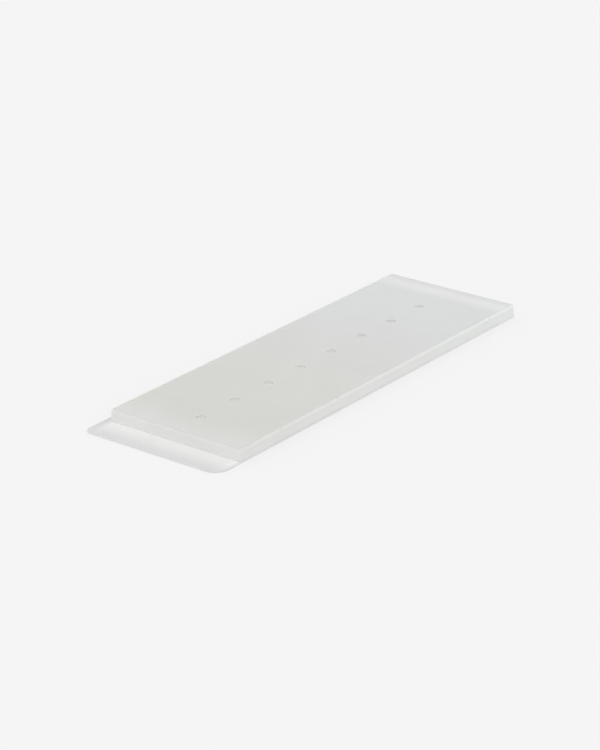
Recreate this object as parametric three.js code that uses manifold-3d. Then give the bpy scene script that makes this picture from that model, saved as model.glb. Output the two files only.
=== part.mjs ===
/**
 * Flat slab mould for soap.
 *
 * A thin base sheet lies on the bench. A four-sided frame stands on it and holds the poured
 * soap. A flat cover drops into a rebate round the frame's top, and a row of soft plugs closes
 * the cover's vents, which also mark where the slab is cut into bars.
 *
 * Units are millimetres. +X runs along the mould from its near end to its far end, +Y runs
 * across it to the left, and +Z is up. The origin is on the underside of the base sheet, at the
 * middle of the sheet.
 */
import * as THREE from 'three';
import { mergeVertices } from 'three/addons/utils/BufferGeometryUtils.js';
import Module from 'manifold-3d';

const wasm = await Module();
wasm.setup();

// Frame
const frameLength = 242;
const frameWidth = 84;
const frameCornerRadius = 2;
const frameWall = 2.6;
const rimWidth = 1.4;
const cavityDepth = 4.7;
const cavityCornerRadius = 0.6;
const frameEdgeRound = 1.0;

// Cover and the clearances round it
const coverThickness = 1.5;
const coverSideClearance = 0.2;
const seatClearance = 0.05;
const coverCornerRadius = 0.4;
const coverEdgeRound = 0.15;

// Base sheet: how far it reaches past each side of the frame
const baseThickness = 0.8;
const baseNearOverhang = 17;
const baseFarOverhang = 0;
const baseLeftOverhang = 2.7;
const baseRightOverhang = 0.3;
const baseNearRightRadius = 8.4;
const baseNearLeftRadius = 5;
const baseFarRadius = 2;
const baseEdgeRound = 0.3;

// Vents: one at each cut between two bars
const barCount = 9;
const ventRowShiftAlong = -7.1;
const ventRowShiftAcross = -1.3;
const ventHoleDiameter = 3.2;
const ventSeatDiameter = 5.0;
const ventSeatDepth = 0.75;

// Vent plugs
const plugSideClearance = 0.2;
const plugRecess = 0.1;
const plugDishDepth = 0.3;
const plugRimWidth = 0.35;
const plugStemChamfer = 0.25;

// Smoothness of the round stretches
const cornerSegments = 6;
const edgeSegments = 2;
const ventSegments = 24;
const dishSegments = 3;

// Heights, from the bench up
const frameBottom = baseThickness + seatClearance;
const coverBottom = baseThickness + cavityDepth;
const ledgeHeight = coverBottom - seatClearance;
const frameTop = coverBottom + coverThickness;

// Plan of the frame, with the origin at the middle of the base sheet
const baseLength = baseNearOverhang + frameLength + baseFarOverhang;
const baseWidth = baseRightOverhang + frameWidth + baseLeftOverhang;
const frameNearX = baseNearOverhang - baseLength / 2;
const frameRightY = baseRightOverhang - baseWidth / 2;
const frameMiddleX = frameNearX + frameLength / 2;
const frameMiddleY = frameRightY + frameWidth / 2;

// Vent row
const ventPitch = frameLength / barCount;
const ventCount = barCount - 1;
const ventRowMiddleX = frameMiddleX + ventRowShiftAlong;
const ventRowY = frameMiddleY + ventRowShiftAcross;
const ventSeatHeight = frameTop - ventSeatDepth;

const sheetPlastic = new THREE.MeshStandardMaterial({ color: 0xe2e3e1, roughness: 0.45 });
const framePlastic = new THREE.MeshStandardMaterial({ color: 0xd9dbd8, roughness: 0.5 });
const coverPlastic = new THREE.MeshStandardMaterial({ color: 0xd6d7d2, roughness: 0.55 });
const plugSilicone = new THREE.MeshStandardMaterial({ color: 0xc6c7c1, roughness: 0.7 });

/** A rectangle in plan; its corner radii go round from the near right corner, or are all one. */
function roundedPlan(length, width, radii) {
  const [nearRight, farRight, farLeft, nearLeft] = Array.isArray(radii) ? radii : Array(4).fill(radii);
  const x = length / 2;
  const y = width / 2;
  const quarter = Math.PI / 2;
  const plan = new THREE.Shape();
  plan.absarc(-x + nearRight, -y + nearRight, nearRight, -2 * quarter, -quarter, false);
  plan.absarc(x - farRight, -y + farRight, farRight, -quarter, 0, false);
  plan.absarc(x - farLeft, y - farLeft, farLeft, 0, quarter, false);
  plan.absarc(-x + nearLeft, y - nearLeft, nearLeft, quarter, 2 * quarter, false);
  plan.closePath();
  return plan;
}

/** A flat plate of the given plan, from bottom to top, with its edges rounded over. */
function plate(plan, bottom, top, edgeRound) {
  const geometry = new THREE.ExtrudeGeometry(plan, {
    depth: top - bottom - 2 * edgeRound,
    curveSegments: cornerSegments,
    bevelEnabled: edgeRound > 0,
    bevelThickness: edgeRound,
    bevelSize: edgeRound,
    bevelOffset: -edgeRound,
    bevelSegments: edgeSegments,
  });
  return geometry.translate(0, 0, bottom + edgeRound);
}

/** A turned solid about +Z from [radius, height] points that start and end on the axis. */
function turned(profile) {
  const points = profile.map(([radius, height]) => new THREE.Vector2(radius, height));
  return new THREE.LatheGeometry(points, ventSegments).rotateX(Math.PI / 2);
}

/** The closed solid inside a geometry's surface. */
function solidOf(geometry) {
  const bare = geometry.clone();
  bare.deleteAttribute('normal');
  bare.deleteAttribute('uv');
  const merged = mergeVertices(bare, 1e-4);
  return new wasm.Manifold(new wasm.Mesh({
    numProp: 3,
    vertProperties: Float32Array.from(merged.attributes.position.array),
    triVerts: Uint32Array.from(merged.index.array),
  }));
}

/** A geometry with others cut out of it. */
function cutFrom(geometry, cutters) {
  const body = cutters.reduce((rest, cutter) => rest.subtract(solidOf(cutter)), solidOf(geometry));
  const { vertProperties, triVerts } = body.getMesh();
  const result = new THREE.BufferGeometry();
  result.setAttribute('position', new THREE.BufferAttribute(vertProperties, 3));
  result.setIndex(new THREE.BufferAttribute(triVerts, 1));
  result.computeVertexNormals();
  return result;
}

/** The thin sheet under the mould, rounder at its near end, where it is gripped. */
function baseSheet() {
  const radii = [baseNearRightRadius, baseFarRadius, baseFarRadius, baseNearLeftRadius];
  const plan = roundedPlan(baseLength, baseWidth, radii);
  return plate(plan, 0, baseThickness, baseEdgeRound);
}

/** The four-sided wall round the soap: square foot, round top edge and a rebate for the cover. */
function mouldFrame() {
  const outer = roundedPlan(frameLength, frameWidth, frameCornerRadius);
  const cavity = roundedPlan(
    frameLength - 2 * frameWall, frameWidth - 2 * frameWall, cavityCornerRadius);
  const rebateRadius = coverCornerRadius + coverSideClearance;
  const rebate = roundedPlan(
    frameLength - 2 * rimWidth, frameWidth - 2 * rimWidth, rebateRadius);
  const overrun = 1;
  const footDepth = 2 * frameEdgeRound;
  const foot = roundedPlan(
    frameLength + 2 * overrun, frameWidth + 2 * overrun, frameCornerRadius);
  return cutFrom(plate(outer, frameBottom - footDepth, frameTop, frameEdgeRound), [
    plate(foot, frameBottom - footDepth - overrun, frameBottom, 0),
    plate(cavity, frameBottom - overrun, frameTop + overrun, 0),
    plate(rebate, ledgeHeight, frameTop + overrun, 0),
  ]);
}

/** The flat cover that drops into the frame's rebate, with a stepped hole at each vent. */
function coverPlate() {
  const inset = rimWidth + coverSideClearance;
  const plan = roundedPlan(frameLength - 2 * inset, frameWidth - 2 * inset, coverCornerRadius);
  const overrun = 1;
  const vent = turned([
    [0, coverBottom - overrun],
    [ventHoleDiameter / 2, coverBottom - overrun],
    [ventHoleDiameter / 2, ventSeatHeight],
    [ventSeatDiameter / 2, ventSeatHeight],
    [ventSeatDiameter / 2, frameTop + overrun],
    [0, frameTop + overrun],
  ]);
  const vents = ventOffsets().map((offset) => vent.clone().translate(offset, ventRowShiftAcross, 0));
  return cutFrom(plate(plan, coverBottom, frameTop, coverEdgeRound), vents);
}

/** Distance of each vent along the mould from the middle of the frame. */
function ventOffsets() {
  return Array.from({ length: ventCount }, (_, index) => (
    ventRowShiftAlong + (index - (ventCount - 1) / 2) * ventPitch));
}

/** A soft plug: a stem through the vent and a round head with a dished top in its seat. */
function ventPlug() {
  const stemRadius = ventHoleDiameter / 2 - plugSideClearance;
  const headRadius = ventSeatDiameter / 2 - plugSideClearance;
  const headBottom = ventSeatHeight + seatClearance;
  const headTop = frameTop - plugRecess;
  const dishRadius = headRadius - plugRimWidth;
  const dish = Array.from({ length: dishSegments }, (_, step) => {
    const share = 1 - (step + 1) / dishSegments;
    return [dishRadius * share, headTop - plugDishDepth * (1 - share * share)];
  });
  return turned([
    [0, coverBottom],
    [stemRadius - plugStemChamfer, coverBottom],
    [stemRadius, coverBottom + plugStemChamfer],
    [stemRadius, headBottom],
    [headRadius, headBottom],
    [headRadius, headTop],
    [dishRadius, headTop],
    ...dish,
  ]);
}

/** A named mesh at a place in plan. */
function piece(name, geometry, material, x, y) {
  const mesh = new THREE.Mesh(geometry, material);
  mesh.name = name;
  mesh.position.set(x, y, 0);
  return mesh;
}

const mould = new THREE.Group();
mould.add(piece('base_sheet', baseSheet(), sheetPlastic, 0, 0));
mould.add(piece('mould_frame', mouldFrame(), framePlastic, frameMiddleX, frameMiddleY));
mould.add(piece('cover_plate', coverPlate(), coverPlastic, frameMiddleX, frameMiddleY));
ventOffsets().forEach((offset, index) => {
  const name = `vent_plug_${index + 1}`;
  mould.add(piece(name, ventPlug(), plugSilicone, frameMiddleX + offset, ventRowY));
});

export default mould;
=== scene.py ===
"""Dresses the flat soap slab mould: fine surfaces, frosted finishes, studio light and a camera.

Lengths are metres in the mould's own frame: +X runs from the near end to the far end, +Y runs
across to the left, +Z is up, and the underside of the base sheet is at height 0.
"""

from __future__ import annotations

import functools
import logging
import math
from dataclasses import dataclass, field
from enum import Enum

import bmesh
import bpy
import numpy as np
from mathutils import Matrix, Vector


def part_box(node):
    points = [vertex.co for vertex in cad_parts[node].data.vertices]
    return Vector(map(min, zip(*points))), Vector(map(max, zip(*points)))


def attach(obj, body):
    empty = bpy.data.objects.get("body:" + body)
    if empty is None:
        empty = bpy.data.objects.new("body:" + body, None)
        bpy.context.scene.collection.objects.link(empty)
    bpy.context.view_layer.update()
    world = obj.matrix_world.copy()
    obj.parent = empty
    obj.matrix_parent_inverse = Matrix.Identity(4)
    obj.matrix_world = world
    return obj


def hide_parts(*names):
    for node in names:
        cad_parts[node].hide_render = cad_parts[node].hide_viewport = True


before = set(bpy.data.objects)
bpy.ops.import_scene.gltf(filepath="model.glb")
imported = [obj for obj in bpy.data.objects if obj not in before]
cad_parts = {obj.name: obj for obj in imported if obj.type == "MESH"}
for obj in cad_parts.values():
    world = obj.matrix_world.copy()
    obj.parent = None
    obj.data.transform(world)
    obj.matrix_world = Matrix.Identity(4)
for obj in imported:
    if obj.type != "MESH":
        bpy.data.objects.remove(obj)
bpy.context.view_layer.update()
MM = 0.001

Colour = tuple[float, float, float]
Span = tuple[float, float]
Value = bpy.types.NodeSocket | float

log = logging.getLogger("soap_mould")


class Slot(Enum):
    """The record's material slots, one for each kind of plastic or silicone."""

    SHEET = "base_sheet"
    FRAME = "mould_frame"
    COVER = "cover_plate"
    PLUG = "vent_plug"


class Cap(Enum):
    """Whether the rows of a grid stay open, or the last one joins the first."""

    OPEN = "open"
    LOOP = "loop"


# ---------------------------------------------------------------------------
# Surfaces
# ---------------------------------------------------------------------------


@dataclass
class Surface:
    """Points and four-sided faces, with a share that is 1 on rounded edges and 0 on flats."""

    points: np.ndarray
    quads: np.ndarray
    edge: np.ndarray

    @staticmethod
    def from_grid(grid: np.ndarray, edge: np.ndarray, rows: Cap) -> Surface:
        """Joins a grid of rows of points into faces; each row closes on itself.

        Args:
            grid: Points as rows by columns by 3.
            edge: One share for each row.
            rows: Whether the last row joins the first one.

        Returns:
            The surface, with face (i, j) between rows i, i+1 and columns j, j+1.
        """
        count, width = grid.shape[:2]
        index = np.arange(count * width).reshape(count, width)
        upper = index if rows is Cap.LOOP else index[:-1]
        lower = np.roll(index, -1, axis=0) if rows is Cap.LOOP else index[1:]
        quads = np.stack(
            [upper, np.roll(upper, -1, axis=1), np.roll(lower, -1, axis=1), lower], axis=-1
        )
        return Surface(grid.reshape(-1, 3), quads.reshape(-1, 4), np.repeat(edge, width))

    @staticmethod
    def joined(parts: list[Surface]) -> Surface:
        """Puts several surfaces in one list of points, each part's faces shifted to its own.

        Args:
            parts: The surfaces to put together.

        Returns:
            One surface, whose shared points are still double.
        """
        starts = np.cumsum([0] + [len(part.points) for part in parts[:-1]])
        return Surface(
            np.concatenate([part.points for part in parts]),
            np.concatenate([part.quads + start for part, start in zip(parts, starts)]),
            np.concatenate([part.edge for part in parts]),
        )

    def to_object(self, name: str) -> bpy.types.Object:
        """Makes a smooth, closed mesh object with its doubles merged and its faces outward.

        Args:
            name: The object's name.

        Returns:
            The new object, at the origin, unturned and unscaled.
        """
        same_place = 1e-7
        no_length = 1e-8
        mesh = bpy.data.meshes.new(name)
        mesh.from_pydata(self.points.tolist(), [], self.quads.tolist())
        share = mesh.attributes.new("edge", "FLOAT", "POINT")
        share.data.foreach_set("value", self.edge.astype(np.float32))
        work = bmesh.new()
        work.from_mesh(mesh)
        bmesh.ops.remove_doubles(work, verts=work.verts, dist=same_place)
        bmesh.ops.dissolve_degenerate(work, edges=work.edges, dist=no_length)
        bmesh.ops.recalc_face_normals(work, faces=work.faces)
        work.to_mesh(mesh)
        work.free()
        mesh.polygons.foreach_set("use_smooth", np.ones(len(mesh.polygons), bool))
        made = bpy.data.objects.new(name, mesh)
        bpy.context.scene.collection.objects.link(made)
        return made


def filleted(corners: list[tuple[float, float, float]], rows: Cap) -> tuple[np.ndarray, np.ndarray]:
    """Rounds the corners of a section.

    Each corner is replaced by an arc tangent to both of its sides: the arc's centre lies on the
    corner's bisector, at radius / sin(half angle). A hold point just outside each end of the arc
    keeps the flats flat where the shading is smooth.

    Args:
        corners: (across, height, radius) for each corner; radius 0 keeps a plain point.
        rows: LOOP when the last corner joins the first.

    Returns:
        The section's points, and for each one 1 inside an arc and 0 elsewhere.
    """
    steps = 5
    hold = 0.04 * MM
    points = np.array([corner[:2] for corner in corners])
    section: list[np.ndarray] = []
    edge: list[np.ndarray] = []
    for number, (corner, (_, _, radius)) in enumerate(zip(points, corners)):
        at_end = rows is Cap.OPEN and number in (0, len(points) - 1)
        if radius == 0 or at_end:
            section.append(corner[None])
            edge.append(np.zeros(1))
            continue
        back = points[number - 1] - corner
        ahead = points[(number + 1) % len(points)] - corner
        back /= np.linalg.norm(back)
        ahead /= np.linalg.norm(ahead)
        half = math.acos(float(np.clip(back @ ahead, -1, 1))) / 2
        reach = radius / math.tan(half)
        middle = (back + ahead) / np.linalg.norm(back + ahead)
        centre = corner + middle * radius / math.sin(half)
        start = corner + back * reach - centre
        end = corner + ahead * reach - centre
        turn = math.atan2(start[0] * end[1] - start[1] * end[0], float(start @ end))
        angles = np.linspace(0, turn, steps + 1)[:, None]
        side = np.array([-start[1], start[0]])
        arc = centre + np.cos(angles) * start + np.sin(angles) * side
        first = corner + back * (reach + hold)
        last = corner + ahead * (reach + hold)
        section.append(np.concatenate([first[None], arc, last[None]]))
        edge.append(np.concatenate([[0.0], np.ones(steps + 1), [0.0]]))
    return np.concatenate(section), np.concatenate(edge)


@dataclass(frozen=True)
class Plan:
    """A rounded rectangle in plan; its corner radii go round from the near right corner."""

    low: Span
    high: Span
    corner_radii: tuple[float, float, float, float]
    least_radius: float

    def rings(self, inset: np.ndarray) -> np.ndarray:
        """The plan drawn again at each inset from its outline.

        A corner's radius falls by the inset, down to the least radius, and never passes half of
        the width that is left. Each ring is its four quarter arcs with evenly divided sides.

        Args:
            inset: How far each ring lies inside the outline.

        Returns:
            Points as rings by points by 2, going round from the near right corner.
        """
        arc_steps = 10
        side_steps = (28, 10, 28, 10)
        low = np.array(self.low)
        high = np.array(self.high)
        middle = (low + high) / 2
        half = (high - low) / 2 - inset[:, None]
        signs = np.array([(-1, -1), (1, -1), (1, 1), (-1, 1)])
        radius = np.maximum(np.array(self.corner_radii) - inset[:, None], self.least_radius)
        radius = np.minimum(radius, half.min(axis=1, keepdims=True))
        centres = middle + signs * (half[:, None] - radius[..., None])
        turns = np.linspace(0, math.pi / 2, arc_steps + 1)
        angles = np.arange(4)[:, None] * math.pi / 2 + math.pi + turns
        round_trip = np.stack([np.cos(angles), np.sin(angles)], axis=-1)
        arcs = centres[:, :, None] + radius[..., None, None] * round_trip
        runs: list[np.ndarray] = []
        for corner, steps in enumerate(side_steps):
            start = arcs[:, corner, -1, None]
            end = arcs[:, (corner + 1) % 4, 0, None]
            share = (np.arange(1, steps) / steps)[:, None]
            runs += [arcs[:, corner], start + (end - start) * share]
        return np.concatenate(runs, axis=1)

    def carried(self, section: np.ndarray, edge: np.ndarray, rows: Cap) -> Surface:
        """Carries a section round the outline.

        Args:
            section: (inset, height) points, with inset measured in from the outline.
            edge: The section's share of rounded edge at each point.
            rows: LOOP for a closed section.

        Returns:
            The surface swept by the section.
        """
        rings = self.rings(section[:, 0])
        heights = np.broadcast_to(section[:, 1, None, None], (*rings.shape[:2], 1))
        return Surface.from_grid(np.concatenate([rings, heights], axis=-1), edge, rows)


def turned(section: np.ndarray, edge: np.ndarray, centre: Span) -> Surface:
    """Turns a section of (radius, height) points about a vertical axis.

    A point of the surface is centre + radius * (cos angle, sin angle), at the section's height.

    Args:
        section: Points that start and end on the axis.
        edge: The section's share of rounded edge at each point.
        centre: Where the axis stands in plan.

    Returns:
        The turned surface.
    """
    steps = 64
    angles = np.linspace(0, 2 * math.pi, steps, endpoint=False)
    circle = np.stack([np.cos(angles), np.sin(angles)], axis=-1)
    plan = np.array(centre) + section[:, 0, None, None] * circle
    heights = np.broadcast_to(section[:, 1, None, None], (*plan.shape[:2], 1))
    return Surface.from_grid(np.concatenate([plan, heights], axis=-1), edge, Cap.OPEN)


# ---------------------------------------------------------------------------
# Shader groups
# ---------------------------------------------------------------------------


def new_group(name: str, inputs: dict[str, float], outputs: list[str]) -> bpy.types.NodeTree:
    """Starts a shader group with number inputs and outputs.

    Args:
        name: The group's name.
        inputs: Each input's name and first value.
        outputs: The outputs' names.

    Returns:
        The group, holding only its input and output nodes.
    """
    group = bpy.data.node_groups.new(name, "ShaderNodeTree")
    for label, value in inputs.items():
        socket = group.interface.new_socket(label, in_out="INPUT", socket_type="NodeSocketFloat")
        socket.default_value = value
    for label in outputs:
        group.interface.new_socket(label, in_out="OUTPUT", socket_type="NodeSocketFloat")
    group.nodes.new("NodeGroupInput").name = "in"
    group.nodes.new("NodeGroupOutput").name = "out"
    return group


def feed(tree: bpy.types.NodeTree, socket: bpy.types.NodeSocket, value: Value | tuple) -> None:
    """Links a socket to an input, or sets the input when the value is a plain number or colour.

    Args:
        tree: The tree that holds the input.
        socket: The input.
        value: What goes into it.
    """
    if isinstance(value, bpy.types.NodeSocket):
        tree.links.new(value, socket)
    else:
        socket.default_value = value


def add_noise(
    tree: bpy.types.NodeTree, coordinates: bpy.types.NodeSocket, scale: Value, detail: float
) -> bpy.types.NodeSocket:
    """Adds a noise texture.

    Args:
        tree: The tree to add it to.
        coordinates: What it reads.
        scale: Its scale, in cells for each metre.
        detail: Its number of finer octaves.

    Returns:
        The noise's socket, between 0 and 1.
    """
    noise = tree.nodes.new("ShaderNodeTexNoise")
    feed(tree, noise.inputs["Scale"], scale)
    noise.inputs["Detail"].default_value = detail
    tree.links.new(coordinates, noise.inputs["Vector"])
    return noise.outputs["Fac"]


def add_math(
    tree: bpy.types.NodeTree, operation: str, first: Value, second: Value
) -> bpy.types.NodeSocket:
    """Adds a Math node.

    Args:
        tree: The tree to add it to.
        operation: The node's operation.
        first: The first value.
        second: The second value.

    Returns:
        The result's socket.
    """
    node = tree.nodes.new("ShaderNodeMath")
    node.operation = operation
    feed(tree, node.inputs[0], first)
    feed(tree, node.inputs[1], second)
    return node.outputs[0]


def total(tree: bpy.types.NodeTree, terms: list[Value]) -> bpy.types.NodeSocket:
    """Adds sockets and numbers up, two at a time."""
    return functools.reduce(lambda so_far, term: add_math(tree, "ADD", so_far, term), terms)


def product(tree: bpy.types.NodeTree, factors: list[Value]) -> bpy.types.NodeSocket:
    """Multiplies sockets and numbers together, two at a time."""
    return functools.reduce(lambda so_far, by: add_math(tree, "MULTIPLY", so_far, by), factors)


def add_range(
    tree: bpy.types.NodeTree, value: bpy.types.NodeSocket, source: Span, target: Span
) -> bpy.types.NodeSocket:
    """Adds a smooth, clamped change of range.

    Args:
        tree: The tree to add it to.
        value: What is changed.
        source: The value's range.
        target: The range that it becomes.

    Returns:
        The result's socket.
    """
    node = tree.nodes.new("ShaderNodeMapRange")
    node.interpolation_type = "SMOOTHSTEP"
    names = ("From Min", "From Max", "To Min", "To Max")
    for name, number in zip(names, (*source, *target)):
        node.inputs[name].default_value = number
    tree.links.new(value, node.inputs["Value"])
    return node.outputs["Result"]


def object_place(tree: bpy.types.NodeTree) -> bpy.types.NodeSocket:
    """Adds the object's own coordinates to a tree."""
    return tree.nodes.new("ShaderNodeTexCoord").outputs["Object"]


def frost_group() -> bpy.types.NodeTree:
    """The frosted skin: fine blasted grain over a slow ripple, slow clouds and patchy gloss.

    Returns:
        A group with input Grain Scale, and outputs Height, Cloud and Sheen.
    """
    ripple_scale, ripple_share = 90.0, 0.35
    cloud_scale, cloud_span = 26.0, (0.3, 0.7)
    sheen_scale, sheen_span = 60.0, (0.35, 0.65)
    group = new_group("frosted_skin", {"Grain Scale": 2600.0}, ["Height", "Cloud", "Sheen"])
    source, sink = group.nodes["in"].outputs, group.nodes["out"].inputs
    place = object_place(group)
    fine = add_noise(group, place, source["Grain Scale"], 3.0)
    ripple = add_noise(group, place, ripple_scale, 2.0)
    height = total(group, [fine, product(group, [ripple, ripple_share])])
    cloud = add_noise(group, place, cloud_scale, 3.0)
    sheen = add_noise(group, place, sheen_scale, 4.0)
    group.links.new(height, sink["Height"])
    group.links.new(add_range(group, cloud, cloud_span, (0, 1)), sink["Cloud"])
    group.links.new(add_range(group, sheen, sheen_span, (0, 1)), sink["Sheen"])
    return group


def wear_and_highlight_group() -> bpy.types.NodeTree:
    """Handling wear: edges polished where they are rubbed, and a few hairline scuffs. Edge also
    paints the rounded edges lighter, a painted highlight broken up like wear.

    Returns:
        A group with outputs Edge and Scuff.
    """
    break_scale, break_span, least_rub = 180.0, (0.3, 0.62), 0.25
    hair_scale, hair_span = 70.0, (0.68, 0.74)
    hair_stretch, hair_turn = (1.0, 14.0, 1.0), math.radians(24)
    group = new_group("edge_wear_and_highlight", {}, ["Edge", "Scuff"])
    sink = group.nodes["out"].inputs
    place = object_place(group)
    edge = group.nodes.new("ShaderNodeAttribute")
    edge.attribute_name = "edge"
    broken = add_noise(group, place, break_scale, 4.0)
    share = add_range(group, broken, break_span, (least_rub, 1))
    group.links.new(product(group, [edge.outputs["Fac"], share]), sink["Edge"])
    stretch = group.nodes.new("ShaderNodeMapping")
    stretch.inputs["Scale"].default_value = hair_stretch
    stretch.inputs["Rotation"].default_value = (0, 0, hair_turn)
    group.links.new(place, stretch.inputs["Vector"])
    hair = add_noise(group, stretch.outputs["Vector"], hair_scale, 2.0)
    group.links.new(add_range(group, hair, hair_span, (0, 1)), sink["Scuff"])
    return group


def object_axes(tree: bpy.types.NodeTree) -> bpy.types.NodeOutputs:
    """Adds the object's own coordinates to a tree, one by one.

    Args:
        tree: The tree to add them to.

    Returns:
        The outputs X, Y and Z.
    """
    axes = tree.nodes.new("ShaderNodeSeparateXYZ")
    tree.links.new(object_place(tree), axes.inputs["Vector"])
    return axes.outputs


def painted_wall_light_group(low: np.ndarray, high: np.ndarray) -> bpy.types.NodeTree:
    """Painted light on the cover: a lighter strip inside its outline, standing in for the lit wall
    showing through the frosted cover.

    Along the far side the strip rises a little way inside it and then fades; at the near end it
    fades from the side itself.

    Args:
        low: The frame's lowest corner.
        high: The frame's highest corner.

    Returns:
        A group with the output Share.
    """
    rise, fall, near_fade = (4.0 * MM, 7.5 * MM), (9.5 * MM, 20.0 * MM), (0.0, 24.0 * MM)
    least_far, most_near = 0.25, 0.5
    group = new_group("painted_light_over_wall", {}, ["Share"])
    axes = object_axes(group)
    from_far = add_math(group, "SUBTRACT", float(high[0]), axes["X"])
    from_near = add_math(group, "SUBTRACT", axes["X"], float(low[0]))
    rising = add_range(group, from_far, rise, (least_far, 1))
    falling = add_range(group, from_far, fall, (1, 0))
    near = add_range(group, from_near, near_fade, (most_near, 0))
    share = add_math(group, "MAXIMUM", product(group, [rising, falling]), near)
    group.links.new(share, group.nodes["out"].inputs["Share"])
    return group


def painted_side_glow_group(low: np.ndarray, high: np.ndarray) -> bpy.types.NodeTree:
    """Painted glow: how much lighter the upright sides are painted, standing in for light that
    comes out through the plastic.

    A face's own direction tells the sides from the rim. The painted glow is strongest in the lowest
    millimetre, next to the lit sheet.

    Args:
        low: The frame's lowest corner.
        high: The frame's highest corner.

    Returns:
        A group with the output Share, which is 0 on the rim and 1 at the foot of a side.
    """
    upright, line_height = (0.1, 0.85), 1.1 * MM
    foot_glow, side_glow = 0.55, (0.45, 0.38)
    group = new_group("painted_glow_of_sides", {}, ["Share"])
    facing = group.nodes.new("ShaderNodeSeparateXYZ")
    normal = group.nodes.new("ShaderNodeTexCoord").outputs["Normal"]
    group.links.new(normal, facing.inputs["Vector"])
    side = add_range(group, facing.outputs["Z"], upright, (1, 0))
    height = object_axes(group)["Z"]
    foot, top = float(low[2]), float(high[2])
    line = add_range(group, height, (foot, foot + line_height), (foot_glow, 0))
    rest = add_range(group, height, (foot, top), side_glow)
    share = product(group, [side, total(group, [line, rest])])
    group.links.new(share, group.nodes["out"].inputs["Share"])
    return group


def sheet_group(low: np.ndarray, high: np.ndarray) -> bpy.types.NodeTree:
    """Painted light on the sheet: none at its outline, and most where the near wall stands.

    Args:
        low: The sheet's lowest corner.
        high: The sheet's highest corner.

    Returns:
        A group with the output Share.
    """
    near_rise, near_fall = (0.5 * MM, 19.0 * MM), (18.0 * MM, 36.0 * MM)
    left_rise, right_rise = (1.0 * MM, 7.0 * MM), (0.0, 2.0 * MM)
    under_mould, at_right = 0.45, 0.3
    group = new_group("painted_light_by_wall", {}, ["Share"])
    axes = object_axes(group)
    from_near = add_math(group, "SUBTRACT", axes["X"], float(low[0]))
    from_left = add_math(group, "SUBTRACT", float(high[1]), axes["Y"])
    from_right = add_math(group, "SUBTRACT", axes["Y"], float(low[1]))
    # Painted light and shade: a pale pool of painted light in front of the near wall, falling to
    # painted shade at the near outline and along the left side, and to less under the mould.
    share = product(
        group,
        [
            add_range(group, from_near, near_rise, (0, 1)),
            add_range(group, from_near, near_fall, (1, under_mould)),
            add_range(group, from_left, left_rise, (0, 1)),
            add_range(group, from_right, right_rise, (at_right, 1)),
        ],
    )
    group.links.new(share, group.nodes["out"].inputs["Share"])
    return group


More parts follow.
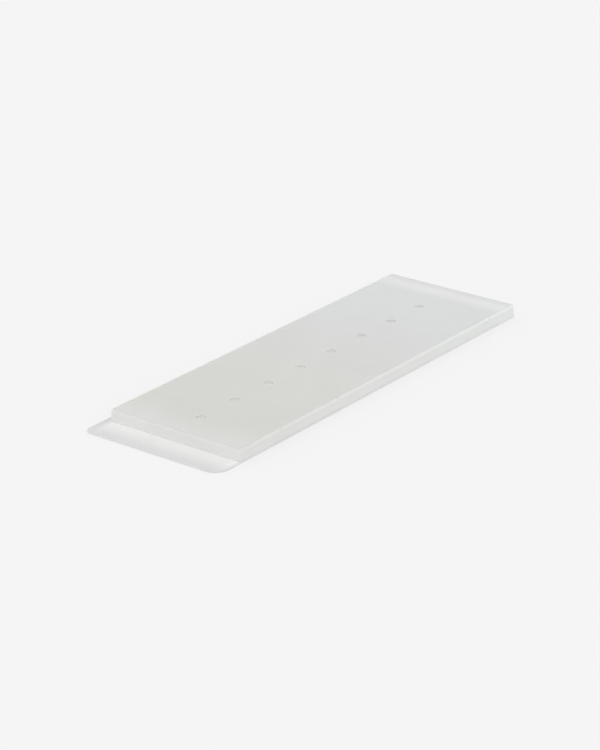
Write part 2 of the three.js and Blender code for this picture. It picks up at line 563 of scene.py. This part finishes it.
@dataclass(frozen=True)
class Finish:
    """A frosted plastic or silicone: its colours, which carry painted light, how light scatters in
    it, and its skin.
    """

    slot: Slot
    near_colour: Colour
    far_colour: Colour
    run: Span
    roughness: float
    subsurface: float
    # Painted light: the pale colour laid on where the finish's group marks light.
    painted_light_colour: Colour = (0.75, 0.76, 0.75)
    scatter: float = 1.0 * MM
    scatter_ratio: Colour = (1.0, 1.0, 0.9)
    refraction: float = 1.46
    grain_scale: float = 2600.0
    grain_height: float = 0.02 * MM
    grain_strength: float = 0.6
    cloud_share: float = 0.12
    cloud_tint: float = 0.86
    # Wear and painted highlight: how much lighter the rounded edges are painted.
    wear_and_highlight_share: float = 0.3
    wear_and_highlight_tint: float = 1.1
    gloss_spread: float = 0.05
    edge_polish: float = 0.12
    scuff_roughness: float = 0.1

    def material(
        self, frost: bpy.types.NodeTree, rub: bpy.types.NodeTree, painted_light: bpy.types.NodeTree | None
    ) -> bpy.types.Material:
        """Builds the finish as one Principled shader fed by the groups.

        Args:
            frost: The frosted skin group.
            rub: The rubbed edges group, which also masks the painted edge highlight.
            painted_light: The group that marks where the painted light colour shows, or None.

        Returns:
            The material.
        """
        made = bpy.data.materials.new(self.slot.value)
        made.use_nodes = True
        tree = made.node_tree
        shader = tree.nodes["Principled BSDF"]
        skin = self.grouped(tree, frost)
        skin.inputs["Grain Scale"].default_value = self.grain_scale
        wear = self.grouped(tree, rub).outputs

        # Painted light: the colour runs from the near colour to the far colour along X; on the
        # sheet, frame and cover the far end is painted lighter, as if lit from the far right.
        along = add_range(tree, object_axes(tree)["X"], self.run, (0, 1))
        colour = self.blended(tree, along, self.near_colour, self.far_colour)
        # Painted light: the group's share lays a paler colour on the sheet's pool by the near wall,
        # the frame's glowing sides and the cover's strip over the wall.
        if painted_light is not None:
            glow = self.grouped(tree, painted_light).outputs["Share"]
            colour = self.blended(tree, glow, colour, self.painted_light_colour)
        cloud = product(tree, [skin.outputs["Cloud"], self.cloud_share])
        cloud_colour = tuple(self.cloud_tint * c for c in self.near_colour)
        colour = self.blended(tree, cloud, colour, cloud_colour)
        # Partly wear, partly painted highlight: rounded edges are painted lighter than the body,
        # broken up by the rub noise.
        rubbed = product(tree, [wear["Edge"], self.wear_and_highlight_share])
        wear_and_highlight_colour = tuple(self.wear_and_highlight_tint * c for c in self.far_colour)
        colour = self.blended(tree, rubbed, colour, wear_and_highlight_colour)
        tree.links.new(colour, shader.inputs["Base Color"])

        spread = (-self.gloss_spread, self.gloss_spread)
        dull = add_range(tree, skin.outputs["Sheen"], (0, 1), spread)
        polish = product(tree, [wear["Edge"], -self.edge_polish])
        scuffed = product(tree, [wear["Scuff"], self.scuff_roughness])
        rough = total(tree, [dull, polish, scuffed, self.roughness])
        tree.links.new(rough, shader.inputs["Roughness"])

        bump = tree.nodes.new("ShaderNodeBump")
        bump.inputs["Strength"].default_value = self.grain_strength
        bump.inputs["Distance"].default_value = self.grain_height
        tree.links.new(skin.outputs["Height"], bump.inputs["Height"])
        tree.links.new(bump.outputs["Normal"], shader.inputs["Normal"])

        shader.inputs["IOR"].default_value = self.refraction
        shader.inputs["Subsurface Weight"].default_value = self.subsurface
        shader.inputs["Subsurface Radius"].default_value = self.scatter_ratio
        shader.inputs["Subsurface Scale"].default_value = self.scatter
        return made

    @staticmethod
    def grouped(tree: bpy.types.NodeTree, group: bpy.types.NodeTree) -> bpy.types.Node:
        """Adds a group to a material.

        Args:
            tree: The material's tree.
            group: The group.

        Returns:
            The node that holds the group.
        """
        node = tree.nodes.new("ShaderNodeGroup")
        node.node_tree = group
        return node

    @staticmethod
    def blended(
        tree: bpy.types.NodeTree,
        share: bpy.types.NodeSocket,
        under: bpy.types.NodeSocket | Colour,
        over: Colour,
    ) -> bpy.types.NodeSocket:
        """Mixes a colour over another by a share.

        Args:
            tree: The material's tree.
            share: 0 for the under colour, and 1 for the over colour.
            under: A colour or a colour socket.
            over: The colour laid over it.

        Returns:
            The mixed colour's socket.
        """
        mix = tree.nodes.new("ShaderNodeMix")
        mix.data_type = "RGBA"
        lower = under if isinstance(under, bpy.types.NodeSocket) else (*under, 1)
        feed(tree, mix.inputs["Factor"], share)
        feed(tree, mix.inputs["A"], lower)
        feed(tree, mix.inputs["B"], (*over, 1))
        return mix.outputs["Result"]


# ---------------------------------------------------------------------------
# The mould's pieces
# ---------------------------------------------------------------------------


@dataclass
class MouldPiece:
    """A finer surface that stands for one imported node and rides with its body."""

    node: str
    body: str
    finish: Finish
    material: bpy.types.Material
    low: np.ndarray = field(init=False)
    high: np.ndarray = field(init=False)

    def __post_init__(self) -> None:
        """Reads the node's box, which sets where the surface goes and how big it is."""
        low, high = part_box(self.node)
        self.low, self.high = np.array(low), np.array(high)

    def surface(self) -> Surface:
        """The piece's surface; each kind of piece has its own."""
        raise NotImplementedError

    def build(self) -> bpy.types.Object:
        """Makes the piece, dresses it and hands it to its body.

        Returns:
            The finished object.
        """
        made = self.surface().to_object(f"{self.node}_surface")
        made.data.materials.append(self.material)
        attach(made, self.body)
        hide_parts(self.node)
        log.info("%s: %d faces on body %s", made.name, len(made.data.polygons), self.body)
        return made


@dataclass
class BaseSheet(MouldPiece):
    """The thin sheet under the mould, with soft edges and large round corners at its near end."""

    corner_radii: tuple[float, float, float, float] = (8.4 * MM, 2.0 * MM, 2.0 * MM, 5.0 * MM)
    least_radius: float = 0.2 * MM
    edge_radius: float = 0.32 * MM
    foot_radius: float = 0.08 * MM

    def surface(self) -> Surface:
        """A flat lens of a section from the middle line out to the rounded edge and back.

        The section's inset runs from half the width, on the middle line, to 0 at the outline.

        Returns:
            The sheet's surface.
        """
        plan = Plan(
            tuple(self.low[:2]), tuple(self.high[:2]), self.corner_radii, self.least_radius
        )
        half_width = (self.high[1] - self.low[1]) / 2
        bottom, top = self.low[2], self.high[2]
        stops = np.array([1.0, 0.75, 0.5, 0.25, 0.1]) * half_width
        section, edge = filleted(
            [(inset, bottom, 0.0) for inset in stops]
            + [(0.0, bottom, self.foot_radius), (0.0, top, self.edge_radius)]
            + [(inset, top, 0.0) for inset in stops[::-1]],
            Cap.OPEN,
        )
        return plan.carried(section, edge, Cap.OPEN)


@dataclass
class MouldFrame(MouldPiece):
    """The four-sided wall: square foot, well-rounded top edge, and a rebate for the cover."""

    corner_radius: float = 2.0 * MM
    cavity_radius: float = 0.6 * MM
    wall: float = 2.6 * MM
    rim: float = 1.4 * MM
    top_round: float = 1.0 * MM
    small_round: float = 0.15 * MM
    foot_round: float = 0.04 * MM
    seat_clearance: float = 0.05 * MM
    cover_bottom: float = 0.0

    def surface(self) -> Surface:
        """One closed section of the wall, carried round the outline of the frame.

        Returns:
            The frame's surface.
        """
        plan = Plan(
            tuple(self.low[:2]),
            tuple(self.high[:2]),
            (self.corner_radius,) * 4,
            self.cavity_radius,
        )
        foot, top = self.low[2], self.high[2]
        ledge = self.cover_bottom - self.seat_clearance
        small = self.small_round
        section, edge = filleted(
            [
                (0.0, foot, self.foot_round),
                (0.0, top, self.top_round),
                (self.rim, top, small),
                (self.rim, ledge, small),
                (self.wall, ledge, small),
                (self.wall, foot, self.foot_round),
            ],
            Cap.LOOP,
        )
        return plan.carried(section, edge, Cap.LOOP)


@dataclass
class CoverPlate(MouldPiece):
    """The flat cover with a stepped vent in the middle of each of its eight cells."""

    corner_radius: float = 0.4 * MM
    edge_radius: float = 0.15 * MM
    hole_radius: float = 1.6 * MM
    seat_radius: float = 2.5 * MM
    seat_depth: float = 0.75 * MM
    vent_round: float = 0.15 * MM
    vent_border: float = 0.3 * MM
    vents: np.ndarray = field(default_factory=lambda: np.zeros((0, 2)))

    def distance(self, points: np.ndarray, near: float, far: float) -> np.ndarray:
        """How far points lie outside a cell: the cover's inset outline cut at two stations.

        The outline's distance is that of a rounded rectangle, and the cell's is the largest of
        it and the distances past the two stations.

        Args:
            points: Points in plan.
            near: The cell's lowest x.
            far: The cell's highest x.

        Returns:
            The distance of each point, below 0 inside the cell.
        """
        middle = (self.low[:2] + self.high[:2]) / 2
        half = (self.high[:2] - self.low[:2]) / 2 - self.edge_radius
        radius = self.corner_radius - self.edge_radius
        past = np.abs(points - middle) - half + radius
        outside = np.linalg.norm(np.maximum(past, 0), axis=-1)
        rounded = outside + np.minimum(past.max(axis=-1), 0) - radius
        return np.maximum(rounded, np.maximum(near - points[..., 0], points[..., 0] - far))

    def corner_angles(self, vent: np.ndarray, near: float, far: float) -> np.ndarray:
        """Directions from a vent to its cell's corners and to points on the rounded ones.

        Args:
            vent: The vent's place in plan.
            near: The cell's lowest x.
            far: The cell's highest x.

        Returns:
            Angles in radians.
        """
        low = self.low[:2] + self.corner_radius
        high = self.high[:2] - self.corner_radius
        radius = self.corner_radius - self.edge_radius
        corner_stops = 7
        turns = np.linspace(0, math.pi / 2, corner_stops)
        spots: list[np.ndarray] = []
        for x_sign, x_round, x_cut in ((-1, low[0], near), (1, high[0], far)):
            rounded = x_cut * x_sign >= x_round * x_sign
            for y_sign, y_round in ((-1, low[1]), (1, high[1])):
                reach = radius if rounded else 0.0
                corner_x = x_round if rounded else x_cut
                across = x_sign * reach * np.cos(turns)
                along = y_sign * (reach * np.sin(turns) if rounded else radius)
                spots.append(
                    np.stack(np.broadcast_arrays(corner_x + across, y_round + along), axis=-1)
                )
        away = np.concatenate(spots) - vent
        return np.arctan2(away[:, 1], away[:, 0])

    def outline(self, vent: np.ndarray, near: float, far: float) -> tuple[np.ndarray, np.ndarray]:
        """The cell's outline seen from its vent, found by halving along each direction.

        Args:
            vent: The vent's place in plan.
            near: The cell's lowest x.
            far: The cell's highest x.

        Returns:
            Unit directions, and how far the outline lies along each one.
        """
        even_ways, halvings, digits = 72, 48, 7
        even = np.linspace(-math.pi, math.pi, even_ways, endpoint=False)
        corners = self.corner_angles(vent, near, far)
        angles = np.unique(np.round(np.concatenate([even, corners]), digits))
        ways = np.stack([np.cos(angles), np.sin(angles)], axis=-1)
        inside = np.zeros(len(angles))
        outside = np.full(len(angles), float(self.high[0] - self.low[0]))
        for _ in range(halvings):
            middle = (inside + outside) / 2
            beyond = self.distance(vent + ways * middle[:, None], near, far) > 0
            outside = np.where(beyond, middle, outside)
            inside = np.where(beyond, inside, middle)
        return ways, inside

    def cell(self, vent: np.ndarray, near: float, far: float) -> tuple[Surface, np.ndarray]:
        """Both faces of one cell and the stepped vent between them, as one grid.

        A point is vent + direction * distance. On the faces the distance goes from the outline
        in to the vent by equal ratios; down the vent it follows the vent's section.

        Args:
            vent: The vent's place in plan.
            near: The cell's lowest x.
            far: The cell's highest x.

        Returns:
            The cell's surface, and its outline's points in plan.
        """
        face_rings = 6
        ways, reach = self.outline(vent, near, far)
        bottom, top = self.low[2], self.high[2]
        seat = top - self.seat_depth
        rim = self.seat_radius + self.vent_border
        section, edge = filleted(
            [
                (rim, bottom, 0.0),
                (self.hole_radius, bottom, self.vent_round),
                (self.hole_radius, seat, self.vent_round),
                (self.seat_radius, seat, self.vent_round),
                (self.seat_radius, top, self.vent_round),
                (rim, top, 0.0),
            ],
            Cap.OPEN,
        )
        shares = np.linspace(1, 0, face_rings, endpoint=False)[:, None]
        face = rim * (reach[None] / rim) ** shares
        distances = np.concatenate(
            [face, np.repeat(section[:, :1], len(reach), axis=1), face[::-1]]
        )
        heights = np.concatenate(
            [np.full(len(face), bottom), section[:, 1], np.full(len(face), top)]
        )
        shades = np.concatenate([np.zeros(len(face)), edge, np.zeros(len(face))])
        plan = vent + ways * distances[..., None]
        tall = np.broadcast_to(heights[:, None, None], (*plan.shape[:2], 1))
        surface = Surface.from_grid(np.concatenate([plan, tall], axis=-1), shades, Cap.OPEN)
        return surface, vent + ways * reach[:, None]

    def rim_surface(self, outlines: np.ndarray) -> Surface:
        """The cover's edge: a rounded section carried along the outline's own normals.

        Both corners of the section are rounded by nearly the whole edge radius, so that a short
        flat is left between each arc and its face.

        Args:
            outlines: The outline points of every cell.

        Returns:
            The surface between the two faces.
        """
        on_outline, digits = 1e-8, 8
        ends = (float(self.low[0]), float(self.high[0]))
        on_edge = np.abs(self.distance(outlines, *ends)) < on_outline
        points = np.unique(np.round(outlines[on_edge], digits), axis=0)
        middle = (self.low[:2] + self.high[:2]) / 2
        away = points - middle
        points = points[np.argsort(np.arctan2(away[:, 1], away[:, 0]))]
        half = (self.high[:2] - self.low[:2]) / 2 - self.corner_radius
        toward = points - middle
        normals = toward - np.clip(toward, -half, half)
        normals /= np.linalg.norm(normals, axis=-1, keepdims=True)
        bottom, top, radius = self.low[2], self.high[2], self.edge_radius
        arc_radius = 0.999 * radius
        section, edge = filleted(
            [
                (0.0, bottom, 0.0),
                (radius, bottom, arc_radius),
                (radius, top, arc_radius),
                (0.0, top, 0.0),
            ],
            Cap.OPEN,
        )
        section[:, 0] = np.clip(section[:, 0], 0.0, radius)
        plan = points + normals * section[:, 0, None, None]
        tall = np.broadcast_to(section[:, 1, None, None], (*plan.shape[:2], 1))
        return Surface.from_grid(np.concatenate([plan, tall], axis=-1), edge, Cap.OPEN)

    def surface(self) -> Surface:
        """Every cell and the rounded edge round them, joined along their shared points.

        The cells meet halfway between their vents; the end cells are cut by the outline alone.

        Returns:
            The cover's surface.
        """
        between = (self.vents[1:, 0] + self.vents[:-1, 0]) / 2
        past_end = 1.0
        cuts = np.concatenate([[self.low[0] - past_end], between, [self.high[0] + past_end]])
        parts: list[Surface] = []
        outlines: list[np.ndarray] = []
        for vent, near, far in zip(self.vents, cuts[:-1], cuts[1:]):
            part, outline = self.cell(vent, float(near), float(far))
            parts.append(part)
            outlines.append(outline)
        parts.append(self.rim_surface(np.concatenate(outlines)))
        return Surface.joined(parts)


@dataclass
class VentPlug(MouldPiece):
    """A soft plug: a stem through the vent, and a head with a dished top."""

    stem_radius: float = 1.4 * MM
    head_height: float = 0.6 * MM
    dish_depth: float = 0.3 * MM
    rim_width: float = 0.35 * MM
    soft_round: float = 0.14 * MM
    neck_round: float = 0.07 * MM

    def surface(self) -> Surface:
        """A section of the plug turned about its axis; the dish falls as the radius squared.

        Returns:
            The plug's surface.
        """
        dish_steps = 12
        centre = (self.low[:2] + self.high[:2]) / 2
        head_radius = (self.high[0] - self.low[0]) / 2
        bottom, top = self.low[2], self.high[2]
        under_head = top - self.head_height
        section, edge = filleted(
            [
                (0.0, bottom, 0.0),
                (self.stem_radius, bottom, self.soft_round),
                (self.stem_radius, under_head, self.neck_round),
                (head_radius, under_head, self.soft_round),
                (head_radius, top, self.soft_round),
                (head_radius - self.rim_width, top, 0.0),
            ],
            Cap.OPEN,
        )
        share = np.linspace(1, 0, dish_steps + 1)[1:]
        dish_radius = head_radius - self.rim_width
        dish = np.stack([dish_radius * share, top - self.dish_depth * (1 - share**2)], axis=-1)
        section = np.concatenate([section, dish])
        return turned(section, np.concatenate([edge, np.zeros(len(dish))]), tuple(centre))


# ---------------------------------------------------------------------------
# Studio
# ---------------------------------------------------------------------------


@dataclass(frozen=True)
class SoftLight:
    """A soft panel that is flagged off the floor, so that it falls on the mould alone."""

    name: str
    place: tuple[float, float, float]
    size: float
    power: float

    def build(self, lit: bpy.types.Collection) -> None:
        """Hangs the panel at its place, facing the mould's middle.

        Args:
            lit: The pieces that the panel lights.
        """
        lamp = bpy.data.lights.new(self.name, "AREA")
        lamp.shape = "SQUARE"
        lamp.size = self.size
        lamp.energy = self.power
        holder = bpy.data.objects.new(self.name, lamp)
        holder.location = self.place
        holder.rotation_euler = holder.location.to_track_quat("Z", "Y").to_euler()
        holder.light_linking.receiver_collection = lit
        bpy.context.scene.collection.objects.link(holder)


@dataclass
class Studio:
    """A plain pale floor, an even surround, soft lights and the camera."""

    floor_half: float = 6.0
    floor_stops: int = 9
    floor_drop: float = 0.02 * MM
    floor_colour: Colour = (0.463, 0.463, 0.463)
    floor_glow: float = 0.45
    surround: float = 1.0
    lights: tuple[SoftLight, ...] = (
        SoftLight("far_right_panel", (0.33, -0.16, 0.12), 0.15, 0.045),
        SoftLight("key_panel", (0.88, -0.47, 0.69), 0.4, 1.6),
        SoftLight("near_panel", (-0.9, 0.1, 0.16), 0.5, 1.1),
    )
    target_offset: Vector = field(default_factory=lambda: Vector((-0.0161, 0.0024, 0.0)))
    distance: float = 1.321
    azimuth: float = math.radians(37.88)
    elevation: float = math.radians(22.80)
    roll: float = math.radians(-0.56)
    lens: float = 121.06
    farthest: float = 50.0

    def build_floor(self) -> None:
        """Lays the floor as a square grid just below the sheet: pale acrylic, lit from below."""
        stops = np.linspace(-self.floor_half, self.floor_half, self.floor_stops)
        across, along = np.meshgrid(stops, stops, indexing="ij")
        height = np.full_like(across, -self.floor_drop)
        points = np.stack([across, along, height], axis=-1)
        index = np.arange(points.shape[0] * points.shape[1]).reshape(points.shape[:2])
        quads = np.stack(
            [index[:-1, :-1], index[1:, :-1], index[1:, 1:], index[:-1, 1:]], axis=-1
        )
        mesh = bpy.data.meshes.new("floor")
        mesh.from_pydata(points.reshape(-1, 3).tolist(), [], quads.reshape(-1, 4).tolist())
        floor = bpy.data.objects.new("floor", mesh)
        bpy.context.scene.collection.objects.link(floor)
        paint = bpy.data.materials.new("floor_paper")
        paint.use_nodes = True
        shader = paint.node_tree.nodes["Principled BSDF"]
        shader.inputs["Base Color"].default_value = (*self.floor_colour, 1)
        shader.inputs["Roughness"].default_value = 1.0
        shader.inputs["Specular IOR Level"].default_value = 0.0
        shader.inputs["Emission Color"].default_value = (1, 1, 1, 1)
        shader.inputs["Emission Strength"].default_value = self.floor_glow
        mesh.materials.append(paint)

    def build_light(self, pieces: list[bpy.types.Object]) -> None:
        """Sets the even surround and hangs the panels.

        Args:
            pieces: The mould's pieces, which the panels light.
        """
        lit = bpy.data.collections.new("lit_by_panels")
        for piece in pieces:
            lit.objects.link(piece)
        world = bpy.data.worlds.new("surround")
        world.use_nodes = True
        background = world.node_tree.nodes["Background"]
        background.inputs["Color"].default_value = (1, 1, 1, 1)
        background.inputs["Strength"].default_value = self.surround
        bpy.context.scene.world = world
        for light in self.lights:
            light.build(lit)

    def build_camera(self) -> None:
        """Puts the camera back from its target along its own line of sight.

        The azimuth turns the line of sight from +X towards +Y, the elevation tips it down, and
        the roll turns the camera about it.
        """
        level = math.cos(self.elevation)
        forward = Vector(
            (
                level * math.cos(self.azimuth),
                level * math.sin(self.azimuth),
                -math.sin(self.elevation),
            )
        )
        right = forward.cross(Vector((0, 0, 1))).normalized()
        up = right.cross(forward)
        turned_right = right * math.cos(self.roll) + up * math.sin(self.roll)
        turned_up = up * math.cos(self.roll) - right * math.sin(self.roll)
        lens = bpy.data.cameras.new("camera")
        lens.lens = self.lens
        lens.clip_end = self.farthest
        camera = bpy.data.objects.new("camera", lens)
        middle = box_middle("mould_frame")
        target = Vector((middle[0], middle[1], 0)) + self.target_offset
        place = target - forward * self.distance
        axes = Matrix((turned_right, turned_up, -forward)).transposed().to_4x4()
        camera.matrix_world = Matrix.Translation(place) @ axes
        bpy.context.scene.collection.objects.link(camera)
        bpy.context.scene.camera = camera

    def build(self, pieces: list[bpy.types.Object]) -> None:
        """Builds the camera, floor and light, with colours shown as they are.

        Args:
            pieces: The mould's pieces.
        """
        self.build_camera()
        self.build_floor()
        self.build_light(pieces)
        bpy.context.scene.view_settings.view_transform = "Standard"
        log.info("studio: %d panels", len(self.lights))


# ---------------------------------------------------------------------------
# Finishes
# ---------------------------------------------------------------------------

# On the sheet, frame and cover the far colour is lighter than the near one: painted light from the
# far right. The pale colour that each finish's group lays on is painted light too.
SHEET_FINISH = Finish(
    slot=Slot.SHEET,
    near_colour=(0.645, 0.645, 0.645),
    far_colour=(0.66, 0.67, 0.66),
    run=(-100 * MM, 110 * MM),
    roughness=0.4,
    subsurface=0.3,
    scatter=0.4 * MM,
    painted_light_colour=(0.93, 0.93, 0.92),
)
FRAME_FINISH = Finish(
    slot=Slot.FRAME,
    near_colour=(0.64, 0.64, 0.625),
    far_colour=(0.655, 0.675, 0.67),
    run=(-60 * MM, 110 * MM),
    roughness=0.42,
    subsurface=1.0,
    painted_light_colour=(0.86, 0.86, 0.845),
)
COVER_FINISH = Finish(
    slot=Slot.COVER,
    near_colour=(0.605, 0.61, 0.575),
    far_colour=(0.62, 0.629, 0.632),
    run=(-60 * MM, 90 * MM),
    roughness=0.46,
    subsurface=1.0,
    painted_light_colour=(0.688, 0.695, 0.693),
)
PLUG_FINISH = Finish(
    slot=Slot.PLUG,
    near_colour=(0.59, 0.595, 0.57),
    far_colour=(0.57, 0.575, 0.565),
    run=(-60 * MM, 90 * MM),
    roughness=0.55,
    subsurface=1.0,
    grain_scale=4200.0,
)


def plug_nodes() -> list[tuple[str, str]]:
    """The plugs' node names and bodies, in order along the mould."""
    count = sum(name.startswith("vent_plug_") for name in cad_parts)
    return [(f"vent_plug_{number}", f"plug_{number}") for number in range(1, count + 1)]


def box_middle(node: str) -> np.ndarray:
    """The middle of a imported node's box."""
    low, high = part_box(node)
    return (np.array(low) + np.array(high)) / 2


def main() -> None:
    """Builds the studio and every piece of the mould."""
    logging.basicConfig(level=logging.INFO, format="%(name)s: %(message)s")
    frost, rub = frost_group(), wear_and_highlight_group()
    walls = [np.array(corner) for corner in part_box("mould_frame")]
    sheet = [np.array(corner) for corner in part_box("base_sheet")]
    # Each finish but the plug's gets a group of painted light: the sheet's pool by the near wall,
    # the frame's glowing sides and the cover's strip over the wall.
    paint = {
        Slot.SHEET: SHEET_FINISH.material(frost, rub, sheet_group(*sheet)),
        Slot.FRAME: FRAME_FINISH.material(frost, rub, painted_side_glow_group(*walls)),
        Slot.COVER: COVER_FINISH.material(frost, rub, painted_wall_light_group(*walls)),
        Slot.PLUG: PLUG_FINISH.material(frost, rub, None),
    }
    plugs = plug_nodes()
    vents = np.array([box_middle(node)[:2] for node, _ in plugs])
    pieces: list[MouldPiece] = [
        BaseSheet("base_sheet", "base", SHEET_FINISH, paint[Slot.SHEET]),
        MouldFrame(
            "mould_frame",
            "frame",
            FRAME_FINISH,
            paint[Slot.FRAME],
            cover_bottom=float(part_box("cover_plate")[0][2]),
        ),
        CoverPlate("cover_plate", "cover", COVER_FINISH, paint[Slot.COVER], vents=vents),
    ]
    pieces += [VentPlug(node, body, PLUG_FINISH, paint[Slot.PLUG]) for node, body in plugs]
    Studio().build([piece.build() for piece in pieces])


if __name__ == "__main__":
    main()
